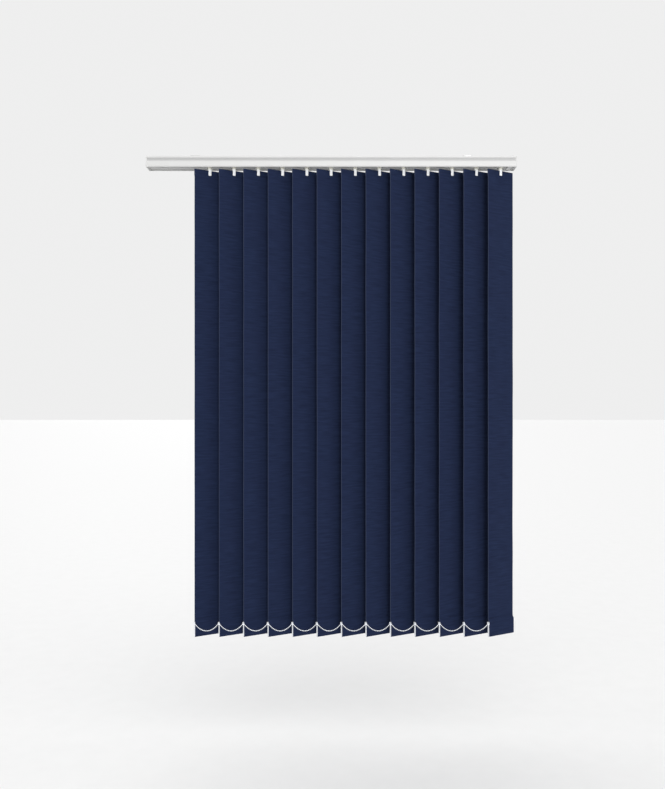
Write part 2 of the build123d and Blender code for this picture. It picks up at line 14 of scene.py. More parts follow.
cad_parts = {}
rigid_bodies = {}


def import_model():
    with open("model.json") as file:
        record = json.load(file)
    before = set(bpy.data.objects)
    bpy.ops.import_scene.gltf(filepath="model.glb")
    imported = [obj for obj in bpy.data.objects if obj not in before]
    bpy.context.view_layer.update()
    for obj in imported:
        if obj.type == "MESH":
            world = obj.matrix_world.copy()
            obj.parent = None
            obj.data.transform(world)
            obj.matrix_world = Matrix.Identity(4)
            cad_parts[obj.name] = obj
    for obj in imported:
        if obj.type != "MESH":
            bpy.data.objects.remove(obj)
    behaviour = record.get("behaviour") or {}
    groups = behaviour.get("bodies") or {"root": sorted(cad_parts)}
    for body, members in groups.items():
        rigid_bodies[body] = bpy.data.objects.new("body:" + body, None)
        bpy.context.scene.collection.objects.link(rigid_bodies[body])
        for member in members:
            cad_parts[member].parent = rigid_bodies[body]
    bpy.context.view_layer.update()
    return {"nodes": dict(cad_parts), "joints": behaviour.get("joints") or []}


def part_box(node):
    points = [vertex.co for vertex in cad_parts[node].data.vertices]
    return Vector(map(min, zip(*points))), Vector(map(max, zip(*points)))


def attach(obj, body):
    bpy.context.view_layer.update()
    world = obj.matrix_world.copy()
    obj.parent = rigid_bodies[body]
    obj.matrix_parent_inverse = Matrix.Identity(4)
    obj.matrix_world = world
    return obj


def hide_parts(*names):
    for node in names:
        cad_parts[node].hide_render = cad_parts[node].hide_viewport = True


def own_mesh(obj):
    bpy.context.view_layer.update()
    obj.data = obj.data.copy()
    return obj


for leftover in list(bpy.data.objects):
    bpy.data.objects.remove(leftover, do_unlink=True)
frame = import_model()
MM = 0.001

# %% [markdown]
# ## The sizes everything hangs from
# Each vane turns about an upright axis through its hook. The joints of the model say where the
# axes are, so no position is typed in twice. The rest are the sizes of the cloth, the hem and
# the weight, which the soft pieces share with the parts they stand for.

# %% Hook axes and vane sizes
joint_at = {joint["name"]: Vector(joint.get("pos_m") or (0, 0, 0)) for joint in frame["joints"]}
hook_names = [f"{number:02d}" for number in range(1, 13)]
hook_x = {name: joint_at[f"tilt_{name}"].x for name in hook_names}
hook_x["13"] = joint_at["tilt"].x
VANE_ANGLE = radians(28.5)
VANE_WIDTH = 89 * MM
CLOTH = 0.6 * MM
TOP_POCKET = 1.5 * MM
FOOT_POCKET = 4.0 * MM
TOP_HEM = 17.8 * MM
FOOT_HEM = 42.5 * MM
FOOT_TAPER = 5.0 * MM
WELD = 3.0 * MM
WEIGHT_THICK = 3.7 * MM
WEIGHT_TOP = 41.5 * MM
WEIGHT_PROUD = 1.5 * MM
LUG_LENGTH = 2.0 * MM
LUG_HEIGHT = 7.0 * MM
LUG_SLOT = 1.3 * MM
LUG_WALL = 0.9 * MM
LUG_SLOT_DEPTH = 4.0 * MM
POCKET_PLAY = 0.15 * MM
vane_low, vane_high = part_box("vane_01")
pitch = hook_x["02"] - hook_x["01"]
along_vane = Vector((cos(VANE_ANGLE), sin(VANE_ANGLE), 0))
forward = Vector((sin(VANE_ANGLE), -cos(VANE_ANGLE), 0))
print("hook pitch", round(pitch, 4))
print("vane from", round(vane_low.z, 4), "to", round(vane_high.z, 4))

# %% [markdown]
# ## Small helpers
# An operator acts on whatever is selected, so each helper starts from nothing selected and
# then chooses faces or edges in code, by their place or the way they face.

# %% Selecting and applying
def only_nothing():
    """Leave nothing selected, in object mode, so that a new primitive stands alone."""
    if bpy.context.mode != "OBJECT":
        bpy.ops.object.mode_set(mode="OBJECT")
    bpy.ops.object.select_all(action="DESELECT")


def only(piece):
    """Make this the one selected and active object, in object mode."""
    only_nothing()
    piece.hide_set(False)
    piece.select_set(True)
    bpy.context.view_layer.objects.active = piece


def pick(piece, kind, test):
    """Enter edit mode with the edges or faces selected whose middle passes the test."""
    only(piece)
    mesh = piece.data
    for group in (mesh.vertices, mesh.edges, mesh.polygons):
        for element in group:
            element.select = False
    if kind == "edges":
        bpy.context.tool_settings.mesh_select_mode = (False, True, False)
        for edge in mesh.edges:
            a, b = (mesh.vertices[index].co for index in edge.vertices)
            edge.select = test((a + b) / 2, b - a)
            if edge.select:
                for index in edge.vertices:
                    mesh.vertices[index].select = True
    else:
        bpy.context.tool_settings.mesh_select_mode = (False, False, True)
        for polygon in mesh.polygons:
            polygon.select = test(polygon.center, polygon.normal)
    bpy.ops.object.mode_set(mode="EDIT")


def extrude(y=0.0, z=0.0):
    """Extrude the selection and move the new part."""
    bpy.ops.mesh.extrude_region_move(TRANSFORM_OT_translate={"value": (0, y, z)})


def cut_across(piece, point, normal):
    """Bisect the whole mesh, which adds edges where the plane crosses it."""
    only(piece)
    bpy.ops.object.mode_set(mode="EDIT")
    bpy.ops.mesh.select_all(action="SELECT")
    bpy.ops.mesh.bisect(plane_co=point, plane_no=normal)
    bpy.ops.object.mode_set(mode="OBJECT")


def modify(piece, kind, **settings):
    """Add a modifier with these settings and apply it."""
    only(piece)
    modifier = piece.modifiers.new(kind.lower(), kind)
    for name, value in settings.items():
        setattr(modifier, name, value)
    bpy.ops.object.modifier_apply(modifier=modifier.name)


def tidy_mesh(piece):
    """Merge doubles and turn every face outwards."""
    only(piece)
    bpy.ops.object.mode_set(mode="EDIT")
    bpy.ops.mesh.select_all(action="SELECT")
    bpy.ops.mesh.remove_doubles(threshold=1e-6)
    bpy.ops.mesh.normals_make_consistent(inside=False)
    bpy.ops.object.mode_set(mode="OBJECT")


def block(name, low, high):
    """A box between two corners, to be shaped further."""
    low, high = Vector(low), Vector(high)
    only_nothing()
    bpy.ops.mesh.primitive_cube_add(size=1, location=(low + high) / 2)
    piece = bpy.context.object
    piece.name = name
    piece.scale = high - low
    bpy.ops.object.transform_apply(location=True, rotation=True, scale=True)
    return piece


def carve(piece, cutter):
    """Take one solid away from another, and remove the cutter."""
    modify(piece, "BOOLEAN", operation="DIFFERENCE", solver="EXACT", object=cutter)
    bpy.data.objects.remove(cutter, do_unlink=True)


def placed_copy(piece, name, place):
    """A copy with its own mesh, moved to its place, its object left at the origin."""
    copy = piece.copy()
    copy.data = piece.data.copy()
    copy.data.transform(place)
    copy.name = name
    bpy.context.collection.objects.link(copy)
    return copy


def smooth(piece, degrees=35):
    """Shade smooth, apart from edges sharper than this angle."""
    only(piece)
    bpy.ops.object.shade_smooth_by_angle(angle=radians(degrees))


def vane_place(name):
    """From a piece modelled on its own hook axis to its place in the blind."""
    return Matrix.Translation((hook_x[name], 0, 0)) @ Matrix.Rotation(VANE_ANGLE, 4, "Z")


# %% [markdown]
# ## Shared shader groups
# Two effects turn up in several materials. A moulded or painted surface is never quite even,
# so "fine grain" gives a slow change of tone and a small relief. The cloth is woven, so
# "slub weave" gives crossing threads and the long uneven picks that make its watery lines.

# %% Building node groups
def new_group(name, inputs, outputs):
    """An empty shader group with float or vector sockets."""
    tree = bpy.data.node_groups.new(name, "ShaderNodeTree")
    for socket, kind, value in inputs:
        made = tree.interface.new_socket(socket, in_out="INPUT", socket_type=kind)
        if value is not None:
            made.default_value = value
    for socket in outputs:
        tree.interface.new_socket(socket, in_out="OUTPUT", socket_type="NodeSocketFloat")
    start = tree.nodes.new("NodeGroupInput")
    end = tree.nodes.new("NodeGroupOutput")
    return tree, start, end


def add_node(tree, kind, **settings):
    """A node with its properties, and its inputs by name or number, set."""
    node = tree.nodes.new(kind)
    values = settings.pop("values", {})
    for name, value in settings.items():
        setattr(node, name, value)
    for key, value in values.items():
        node.inputs[key].default_value = value
    return node


def math_node(tree, operation, first, second=None, third=None):
    """A Math node fed by sockets or numbers."""
    node = add_node(tree, "ShaderNodeMath", operation=operation)
    for index, value in enumerate((first, second, third)):
        if value is None:
            continue
        if isinstance(value, (int, float)):
            node.inputs[index].default_value = value
        else:
            tree.links.new(value, node.inputs[index])
    return node.outputs[0]


FLOAT = "NodeSocketFloat"
VECTOR = "NodeSocketVector"


# %% Fine grain: slow change of tone, and a small relief
def make_fine_grain():
    tree, start, end = new_group(
        "fine grain",
        [("Vector", VECTOR, None), ("Grain Size", FLOAT, 0.0008), ("Patch Size", FLOAT, 0.06)],
        ["Tone", "Height"],
    )
    inverse = math_node(tree, "DIVIDE", 1.0, start.outputs["Grain Size"])
    slow = math_node(tree, "DIVIDE", 1.0, start.outputs["Patch Size"])
    relief = add_node(tree, "ShaderNodeTexNoise", values={"Detail": 2.0, "Roughness": 0.5})
    patches = add_node(tree, "ShaderNodeTexNoise", values={"Detail": 3.0, "Roughness": 0.55})
    for noise, scale in ((relief, inverse), (patches, slow)):
        tree.links.new(start.outputs["Vector"], noise.inputs["Vector"])
        tree.links.new(scale, noise.inputs["Scale"])
    tree.links.new(patches.outputs["Fac"], end.inputs["Tone"])
    tree.links.new(relief.outputs["Fac"], end.inputs["Height"])
    return tree


# %% Slub weave: crossing threads and long uneven picks
def make_slub_weave():
    tree, start, end = new_group(
        "slub weave",
        [
            ("Vector", VECTOR, None),
            ("Thread Pitch", FLOAT, 0.00055),
            ("Slub Height", FLOAT, 0.0042),
            ("Slub Length", FLOAT, 0.045),
            ("Sway", FLOAT, 0.006),
        ],
        ["Slub", "Height", "Patch"],
    )
    parts = add_node(tree, "ShaderNodeSeparateXYZ")
    tree.links.new(start.outputs["Vector"], parts.inputs[0])
    # the picks sway up and down across the cloth
    bend = add_node(tree, "ShaderNodeTexNoise", values={"Scale": 14.0, "Detail": 2.0})
    tree.links.new(start.outputs["Vector"], bend.inputs["Vector"])
    sway = math_node(tree, "MULTIPLY", bend.outputs["Fac"], start.outputs["Sway"])
    level = math_node(tree, "ADD", parts.outputs["Z"], sway)
    across = math_node(tree, "DIVIDE", parts.outputs["X"], start.outputs["Slub Length"])
    upward = math_node(tree, "DIVIDE", level, start.outputs["Slub Height"])
    streak_at = add_node(tree, "ShaderNodeCombineXYZ")
    tree.links.new(across, streak_at.inputs["X"])
    tree.links.new(upward, streak_at.inputs["Z"])
    streaks = add_node(tree, "ShaderNodeTexNoise", values={"Scale": 1.0, "Detail": 3.5})
    tree.links.new(streak_at.outputs[0], streaks.inputs["Vector"])
    tree.links.new(streaks.outputs["Fac"], end.inputs["Slub"])
    # the threads themselves
    waves = []
    for place in (parts.outputs["X"], level):
        turns = math_node(tree, "DIVIDE", place, start.outputs["Thread Pitch"])
        waves.append(math_node(tree, "SINE", math_node(tree, "MULTIPLY", turns, 2 * pi)))
    product = math_node(tree, "MULTIPLY", waves[0], waves[1])
    tree.links.new(math_node(tree, "MULTIPLY_ADD", product, 0.5, 0.5), end.inputs["Height"])
    patch = add_node(tree, "ShaderNodeTexNoise", values={"Scale": 9.0, "Detail": 2.0})
    tree.links.new(start.outputs["Vector"], patch.inputs["Vector"])
    tree.links.new(patch.outputs["Fac"], end.inputs["Patch"])
    return tree


fine_grain = make_fine_grain()
slub_weave = make_slub_weave()
print("shader groups:", fine_grain.name, "and", slub_weave.name)

# %% [markdown]
# ## Materials
# A material is a Principled BSDF with its plain numbers set on the sockets, and the groups
# feeding only what changes over the surface: colour, roughness and the bump.

# %% A moulded or painted finish
def new_material(name, **plain):
    """A material with these numbers on its Principled BSDF."""
    material = bpy.data.materials.new(name)
    material.use_nodes = True
    shader = material.node_tree.nodes["Principled BSDF"]
    for socket, value in plain.items():
        shader.inputs[socket.replace("_", " ")].default_value = value
    return material, material.node_tree, shader


def tone_mix(tree, factor, dark, light, shader_input):
    """Feed a colour that runs from dark to light with the factor."""
    mix = add_node(tree, "ShaderNodeMix", data_type="RGBA")
    mix.inputs["A"].default_value = (*dark, 1)
    mix.inputs["B"].default_value = (*light, 1)
    tree.links.new(factor, mix.inputs["Factor"])
    tree.links.new(mix.outputs["Result"], shader_input)


def moulded(name, dark, light, rough, grain_size, relief, **plain):
    """An even finish with a slight grain: paint, moulded plastic or plated steel."""
    material, tree, shader = new_material(name, **plain)
    place = add_node(tree, "ShaderNodeTexCoord")
    grain = add_node(tree, "ShaderNodeGroup", node_tree=fine_grain)
    grain.inputs["Grain Size"].default_value = grain_size
    tree.links.new(place.outputs["Object"], grain.inputs["Vector"])
    tone_mix(tree, grain.outputs["Tone"], dark, light, shader.inputs["Base Color"])
    spread = add_node(tree, "ShaderNodeMapRange")
    spread.inputs["To Min"].default_value = rough[0]
    spread.inputs["To Max"].default_value = rough[1]
    tree.links.new(grain.outputs["Tone"], spread.inputs["Value"])
    tree.links.new(spread.outputs["Result"], shader.inputs["Roughness"])
    bump = add_node(tree, "ShaderNodeBump", values={"Strength": 0.35, "Distance": relief})
    tree.links.new(grain.outputs["Height"], bump.inputs["Height"])
    tree.links.new(bump.outputs["Normal"], shader.inputs["Normal"])
    return material


white_enamel = moulded(
    "white_enamel", (0.62, 0.62, 0.615), (0.68, 0.68, 0.675), (0.28, 0.40), 0.0011, 0.00004
)


RECESS_Z = -10.5 * MM
RECESS_HALF = 3.8 * MM
RECESS_EDGE = 0.6 * MM
RECESS_SHADE = (0.72, 0.72, 0.725, 1)


def shade_recess(material):
    """Darken the enamel a little along the front's recess, which the light reaches less."""
    tree = material.node_tree
    shader = tree.nodes["Principled BSDF"]
    place = add_node(tree, "ShaderNodeTexCoord")
    parts = add_node(tree, "ShaderNodeSeparateXYZ")
    tree.links.new(place.outputs["Object"], parts.inputs[0])
    from_middle = math_node(tree, "SUBTRACT", parts.outputs["Z"], RECESS_Z)
    off_middle = math_node(tree, "ABSOLUTE", from_middle)
    inside = add_node(tree, "ShaderNodeMapRange", interpolation_type="SMOOTHSTEP")
    inside.inputs["From Min"].default_value = RECESS_HALF + RECESS_EDGE
    inside.inputs["From Max"].default_value = RECESS_HALF - RECESS_EDGE
    tree.links.new(off_middle, inside.inputs["Value"])
    in_front = math_node(tree, "LESS_THAN", parts.outputs["Y"], 0.0)
    recess = math_node(tree, "MULTIPLY", inside.outputs["Result"], in_front)
    mix = add_node(tree, "ShaderNodeMix", data_type="RGBA", blend_type="MULTIPLY")
    mix.inputs["B"].default_value = RECESS_SHADE
    before = shader.inputs["Base Color"].links[0].from_socket
    tree.links.new(recess, mix.inputs["Factor"])
    tree.links.new(before, mix.inputs["A"])
    tree.links.new(mix.outputs["Result"], shader.inputs["Base Color"])


shade_recess(white_enamel)
cap_plastic = moulded(
    "cap_plastic", (0.61, 0.61, 0.605), (0.68, 0.68, 0.675), (0.45, 0.58), 0.0006, 0.00006
)
carrier_plastic = moulded(
    "carrier_plastic", (0.80, 0.79, 0.70), (0.86, 0.85, 0.77), (0.38, 0.50), 0.0007, 0.00005
)
hook_plastic = moulded(
    "hook_plastic", (0.90, 0.91, 0.93), (0.95, 0.96, 0.97), (0.22, 0.32), 0.0009, 0.00003
)
weight_plastic = moulded(
    "weight_plastic", (0.88, 0.90, 0.94), (0.93, 0.95, 0.98), (0.35, 0.48), 0.0007, 0.00004
)
bead_plastic = moulded(
    "bead_plastic", (0.88, 0.90, 0.94), (0.94, 0.955, 0.985), (0.18, 0.28), 0.0010, 0.00002
)
gear_plastic = moulded(
    "gear_plastic", (0.42, 0.43, 0.44), (0.50, 0.51, 0.52), (0.40, 0.52), 0.0006, 0.00005
)
bracket_steel = moulded(
    "bracket_steel", (0.52, 0.52, 0.51), (0.66, 0.66, 0.65), (0.26, 0.42), 0.0015, 0.00004,
    Metallic=1.0,
)
rod_aluminium = moulded(
    "rod_aluminium", (0.66, 0.67, 0.68), (0.76, 0.77, 0.78), (0.24, 0.38), 0.0012, 0.00003,
    Metallic=1.0,
)


# %% The navy cloth
def make_cloth():
    """Navy polyester: watery cross lines, a fine weave, and a paler edge line, part sealed edge
    and part painted highlight.
    """
    material, tree, shader = new_material(
        "navy_cloth", Roughness=0.92, Sheen_Weight=0.02, Sheen_Roughness=0.5
    )
    shader.inputs["Specular IOR Level"].default_value = 0.08
    place = add_node(tree, "ShaderNodeTexCoord")
    turned = add_node(tree, "ShaderNodeMapping", vector_type="TEXTURE")
    turned.inputs["Rotation"].default_value = (0, 0, VANE_ANGLE)
    tree.links.new(place.outputs["Object"], turned.inputs["Vector"])
    weave = add_node(tree, "ShaderNodeGroup", node_tree=slub_weave)
    tree.links.new(turned.outputs[0], weave.inputs["Vector"])
    lines = add_node(tree, "ShaderNodeMapRange")
    lines.inputs["From Min"].default_value = 0.30
    lines.inputs["From Max"].default_value = 0.70
    tree.links.new(weave.outputs["Slub"], lines.inputs["Value"])
    base = add_node(tree, "ShaderNodeMix", data_type="RGBA")
    base.inputs["A"].default_value = (0.0090, 0.0153, 0.0412, 1)
    base.inputs["B"].default_value = (0.0161, 0.0271, 0.0683, 1)
    tree.links.new(lines.outputs["Result"], base.inputs["Factor"])
    # a slow drift of hue from one patch to the next
    drift = add_node(tree, "ShaderNodeMix", data_type="RGBA")
    drift.inputs["B"].default_value = (0.0145, 0.0198, 0.0528, 1)
    half_patch = math_node(tree, "MULTIPLY", weave.outputs["Patch"], 0.5)
    tree.links.new(half_patch, drift.inputs["Factor"])
    tree.links.new(base.outputs["Result"], drift.inputs["A"])
    # the paler edge line: partly the sealed edge, partly a painted highlight where the thin edge
    # catches the light
    edge = add_node(tree, "ShaderNodeAttribute", attribute_name="selvedge")
    paler = add_node(tree, "ShaderNodeMix", data_type="RGBA")
    paler.inputs["B"].default_value = (0.052, 0.066, 0.110, 1)
    tree.links.new(edge.outputs["Fac"], paler.inputs["Factor"])
    tree.links.new(drift.outputs["Result"], paler.inputs["A"])
    tree.links.new(paler.outputs["Result"], shader.inputs["Base Color"])
    relief = math_node(tree, "MULTIPLY_ADD", weave.outputs["Slub"], 0.8, weave.outputs["Height"])
    bump = add_node(tree, "ShaderNodeBump", values={"Strength": 0.4, "Distance": 0.00012})
    tree.links.new(relief, bump.inputs["Height"])
    tree.links.new(bump.outputs["Normal"], shader.inputs["Normal"])
    return material


navy_cloth = make_cloth()


def finish_with(piece, material):
    """Give a new piece one material."""
    piece.data.materials.clear()
    piece.data.materials.append(material)


# %% [markdown]
# ## The cloth of one vane
# Each vane is a single strip. It is turned over at the top round a stiff hanger, and turned up
# at the foot into a deeper pocket for the weight, with a welded line closing each hem.
# A grid makes the long panel; its end rows are spun round the two folds and extruded along the
# hems, exactly as the strip is folded. Solidify then gives it the cloth's thickness.

# %% Fold the strip
LAYER_GAP = 1.05 * CLOTH  # between the middles of two layers that lie together
NEAR = 1e-6


def make_cloth_vane():
    """The folded strip as a single sheet, and the length it was cut to."""
    top_fold = TOP_POCKET / 2 + CLOTH / 2
    foot_fold = FOOT_POCKET / 2 + CLOTH / 2
    top_turn = vane_high.z - top_fold - CLOTH / 2
    foot_turn = vane_low.z + foot_fold + CLOTH / 2
    panel = top_turn - foot_turn
    only_nothing()
    bpy.ops.mesh.primitive_grid_add(
        x_subdivisions=10, y_subdivisions=52, size=1, rotation=(pi / 2, 0, 0)
    )
    cloth = bpy.context.object
    cloth.name = "vane_cloth"
    cloth.scale = (VANE_WIDTH, panel, 1)
    cloth.location = (0, 0, (top_turn + foot_turn) / 2)
    bpy.ops.object.transform_apply(location=True, rotation=True, scale=True)
    flat_length = panel
    # over the top, to the back, down the hem and in to the weld
    pick(cloth, "edges", lambda middle, run: middle.z > top_turn - NEAR and abs(run.z) < NEAR)
    bpy.ops.mesh.spin(steps=8, angle=pi, center=(0, top_fold, top_turn), axis=(1, 0, 0))
    weld_level = vane_high.z - TOP_HEM - TOP_POCKET
    extrude(z=vane_high.z - TOP_HEM - top_turn)
    extrude(y=LAYER_GAP - 2 * top_fold, z=weld_level - (vane_high.z - TOP_HEM))
    extrude(z=-WELD)
    bpy.ops.object.mode_set(mode="OBJECT")
    flat_length += pi * top_fold + (top_turn - weld_level) + WELD
    # under the foot, to the front, up the hem and in to the weld
    pick(cloth, "edges", lambda middle, run: middle.z < foot_turn + NEAR and abs(run.z) < NEAR)
    bpy.ops.mesh.spin(steps=10, angle=pi, center=(0, -foot_fold, foot_turn), axis=(1, 0, 0))
    extrude(z=vane_low.z + FOOT_HEM - foot_turn)
    extrude(y=2 * foot_fold - LAYER_GAP, z=FOOT_TAPER)
    extrude(z=WELD)
    bpy.ops.object.mode_set(mode="OBJECT")
    flat_length += pi * foot_fold + (vane_low.z + FOOT_HEM + FOOT_TAPER - foot_turn) + WELD
    return cloth, flat_length


cloth_master, CLOTH_LENGTH = make_cloth_vane()
print("strip length", round(CLOTH_LENGTH, 4))
print("cloth box", [round(v, 4) for v in cloth_master.dimensions])

# %% [markdown]
# The two side edges of a vane are cut with a hot blade, which seals the threads. A narrow paler
# line runs along each: partly the sealed edge, partly a painted highlight where the thin edge
# catches the light. Two cuts along the strip give that line its own faces, and an attribute
# says how far into the line each point is. The belly group marks the free cloth between the
# two hems, which is all that can bend, because the hanger and the weight keep the hems flat.

# %% Thicken the cloth, mark its edges, and cut the hole for the hook
# width of the paler edge line, partly sealed edge and partly painted highlight
PALE_EDGE_WIDTH = 1.6 * MM
for side in (-1, 1):
    cut_across(cloth_master, (side * (VANE_WIDTH / 2 - PALE_EDGE_WIDTH), 0, 0), (1, 0, 0))
tidy_mesh(cloth_master)
modify(cloth_master, "SOLIDIFY", thickness=CLOTH, offset=0, use_even_offset=True)
HOLE_LEVEL = vane_high.z - 8.5 * MM
HOLE_WIDE = 3.8 * MM  # half of the hole's width
HOLE_HIGH = 2.3 * MM  # half of its height
HOLE_CORNER = 2.2 * MM
HOLE_REACH = 6 * MM
BELLY_MARGIN = 6 * MM
BELLY_RISE = 3.2
hook_hole = block(
    "hook_hole",
    (-HOLE_WIDE, 0.6 * CLOTH, HOLE_LEVEL - HOLE_HIGH),
    (HOLE_WIDE, HOLE_REACH, HOLE_LEVEL + HOLE_HIGH),
)
pick(hook_hole, "edges", lambda middle, run: abs(run.y) > 1e-4)
bpy.ops.mesh.bevel(offset=HOLE_CORNER, segments=5, affect="EDGES")
bpy.ops.object.mode_set(mode="OBJECT")
carve(cloth_master, hook_hole)
belly = cloth_master.vertex_groups.new(name="belly")
belly_low = vane_low.z + FOOT_HEM + FOOT_TAPER + WELD
belly_high = vane_high.z - TOP_HEM - BELLY_MARGIN
for vertex in cloth_master.data.vertices:
    share = (vertex.co.z - belly_low) / (belly_high - belly_low)
    if 0 < share < 1:
        belly.add([vertex.index], min(1.0, BELLY_RISE * sin(pi * share)), "REPLACE")
# paint a paler line along both side edges: partly the sealed edge, partly a painted highlight of
# the edge catching the light
pale_edge_line = cloth_master.data.attributes.new("selvedge", "FLOAT", "POINT")
for vertex in cloth_master.data.vertices:
    depth = VANE_WIDTH / 2 - abs(vertex.co.x)
    pale_edge_line.data[vertex.index].value = max(0.0, 1 - depth / PALE_EDGE_WIDTH)
print("cloth mesh has", len(cloth_master.data.polygons), "faces")

# %% [markdown]
# ## The weight and the hanger
# The weight is a flat moulded bar with a rounded foot, a little longer than the vane is wide.
# At each end it has a lug with a slot, into which the chain is pushed from above. A block is
# bevelled for the bar, a second block joins it for each lug, and a third cuts each slot.

# %% Model the weight
WEIGHT_MIDDLE = CLOTH / 2 + FOOT_POCKET / 2
HALF_WEIGHT = VANE_WIDTH / 2 + WEIGHT_PROUD
LUG_TOP = vane_low.z + WEIGHT_TOP
hinge_at = {side: joint_at[f"chain_hang_{side}"] for side in ("front", "back")}
chain_forward = {
    side: (place - Vector((hook_x["13"], 0, place.z))).dot(forward)
    for side, place in hinge_at.items()
}
print("chains lie forward", {side: round(y, 5) for side, y in chain_forward.items()})


def make_weight():
    """The bar of a weight with its two slotted lugs."""
    bar = block(
        "weight_bar",
        (-HALF_WEIGHT, -WEIGHT_MIDDLE - WEIGHT_THICK / 2, vane_low.z + CLOTH + POCKET_PLAY),
        (HALF_WEIGHT, -WEIGHT_MIDDLE + WEIGHT_THICK / 2, LUG_TOP),
    )
    pick(bar, "edges", lambda middle, run: middle.z < vane_low.z + 2 * MM and abs(run.x) > 1e-4)
    bpy.ops.mesh.bevel(offset=0.47 * WEIGHT_THICK, segments=5, affect="EDGES")
    bpy.ops.object.mode_set(mode="OBJECT")
    reach = LUG_SLOT / 2 + LUG_WALL
    front, back = WEIGHT_MIDDLE + WEIGHT_THICK / 2, WEIGHT_MIDDLE - WEIGHT_THICK / 2
    for side, end in (("front", -1), ("back", 1)):
        chain = chain_forward[side]
        outer, inner = max(front, chain + reach), min(back, chain - reach)
        near, far = sorted((end * (HALF_WEIGHT - 0.5 * MM), end * (HALF_WEIGHT + LUG_LENGTH)))
        lug = block("lug", (near, -outer, LUG_TOP - LUG_HEIGHT), (far, -inner, LUG_TOP))
        modify(bar, "BOOLEAN", operation="UNION", solver="EXACT", object=lug)
        bpy.data.objects.remove(lug, do_unlink=True)
        near, far = sorted((end * HALF_WEIGHT, end * (HALF_WEIGHT + LUG_LENGTH + 1 * MM)))
        carve(bar, block(
            "slot",
            (near, -chain - LUG_SLOT / 2, LUG_TOP - LUG_SLOT_DEPTH),
            (far, -chain + LUG_SLOT / 2, LUG_TOP + 1 * MM),
        ))
    tidy_mesh(bar)
    modify(
        bar, "BEVEL", width=0.22 * MM, segments=2, limit_method="ANGLE", angle_limit=radians(40)
    )
    smooth(bar)
    return bar


weight_master = make_weight()
print("weight", [round(v, 4) for v in weight_master.dimensions])


# %% Model the hanger
HANGER_SHORT = 2 * MM
HANGER_HEIGHT = 15 * MM
HANGER_THICK = 1.2 * MM


def make_hanger():
    """A flat strip with round corners and the hole for the hook's barb."""
    front = CLOTH / 2 + POCKET_PLAY
    top = vane_high.z - TOP_POCKET / 2 - CLOTH
    strip = block(
        "hanger_strip",
        (-VANE_WIDTH / 2 + HANGER_SHORT, front, top - HANGER_HEIGHT),
        (VANE_WIDTH / 2 - HANGER_SHORT, front + HANGER_THICK, top),
    )
    pick(strip, "edges", lambda middle, run: abs(run.y) > 1e-4)
    bpy.ops.mesh.bevel(offset=2 * MM, segments=4, affect="EDGES")
    bpy.ops.object.mode_set(mode="OBJECT")
    carve(strip, block(
        "hanger_hole",
        (-HOLE_WIDE, 0, HOLE_LEVEL - HOLE_HIGH),
        (HOLE_WIDE, HOLE_REACH, HOLE_LEVEL + HOLE_HIGH),
    ))
    tidy_mesh(strip)
    modify(
        strip, "BEVEL", width=0.2 * MM, segments=2, limit_method="ANGLE", angle_limit=radians(40)
    )
    smooth(strip)
    return strip


hanger_master = make_hanger()
print("hanger", [round(v, 4) for v in hanger_master.dimensions])

# %% [markdown]
# ## Thirteen vanes
# Each vane is a copy of the master. Hanging cloth is never flat, so a Displace modifier with a
# large cloud pattern moves the free cloth by a millimetre or so, and reads another part of the
# pattern for each vane. Its copy is then turned and moved to its hook.

# %% Copy and hang the vanes
ripple = bpy.data.textures.new("cloth_ripple", "CLOUDS")
ripple.noise_scale = 0.16
ripple.noise_depth = 1
RIPPLE = 2.6 * MM
for number, name in enumerate(hook_x):
    cloth = placed_copy(cloth_master, f"vane_fabric_{name}", Matrix.Identity(4))
    guide = bpy.data.objects.new("ripple_guide", None)
    guide.location = (0.43 * number, 0.21, 0.17 * number)
    bpy.context.collection.objects.link(guide)
    bpy.context.view_layer.update()
    modify(
        cloth, "DISPLACE", texture=ripple, texture_coords="OBJECT", texture_coords_object=guide,
        direction="Y", strength=RIPPLE, mid_level=0.5, vertex_group="belly",
    )
    bpy.data.objects.remove(guide, do_unlink=True)
    cloth.vertex_groups.clear()
    cloth.data.transform(vane_place(name))
    smooth(cloth, 50)
    finish_with(cloth, navy_cloth)
    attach(cloth, f"vane_{name}")
    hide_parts(f"vane_{name}")
    for master, piece_name in ((weight_master, "vane_weight"), (hanger_master, "vane_hanger")):
        piece = placed_copy(master, f"{piece_name}_{name}", vane_place(name))
        finish_with(piece, weight_plastic)
        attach(piece, f"vane_{name}")
for master in (cloth_master, weight_master, hanger_master):
    bpy.data.objects.remove(master, do_unlink=True)
print("hung", len(hook_x), "vanes")

# %% [markdown]
# ## The bottom chains
# A thin string with beads moulded on it joins the weights at the front, and another at the
# back, so that the vanes keep their distance. Between two lugs a chain hangs in a catenary.
# The beads repeat hundreds of times, so each has only a few dozen faces.

# %% The line of a chain
CHAIN_SAG = 20 * MM
STRING_RADIUS = 0.45 * MM
BEAD_RADIUS = 1.5 * MM
BEAD_PITCH = 4.5 * MM
LUG_GAP = 0.2 * MM  # from a lug's end to where a span begins
OUTWARD = 0.2 * MM
SPAN_STEPS = 24
SEAT = LUG_TOP - LUG_SLOT_DEPTH + STRING_RADIUS + 0.05 * MM


def catenary(width, sag):
    """The constant of the catenary that hangs this deep over this width."""
    low, high = width / 40, width * 20
    for _ in range(60):
        middle = (low + high) / 2
        if middle * (cosh(width / 2 / middle) - 1) > sag:
            low = middle
        else:
            high = middle
    return middle


SPAN = pitch - LUG_LENGTH - 2 * LUG_GAP
CURVE = catenary(SPAN, CHAIN_SAG)


def on_span(start_x, y, travelled):
    """The point this far along a span, measured on the string from its left end."""
    x = CURVE * asinh(travelled / CURVE - sinh(SPAN / 2 / CURVE))
    z = CURVE * (cosh(x / CURVE) - 1) - CHAIN_SAG
    return Vector((start_x + SPAN / 2 + x, y, SEAT + z))


SPAN_LENGTH = 2 * CURVE * sinh(SPAN / 2 / CURVE)
print("string in one span", round(SPAN_LENGTH, 4))


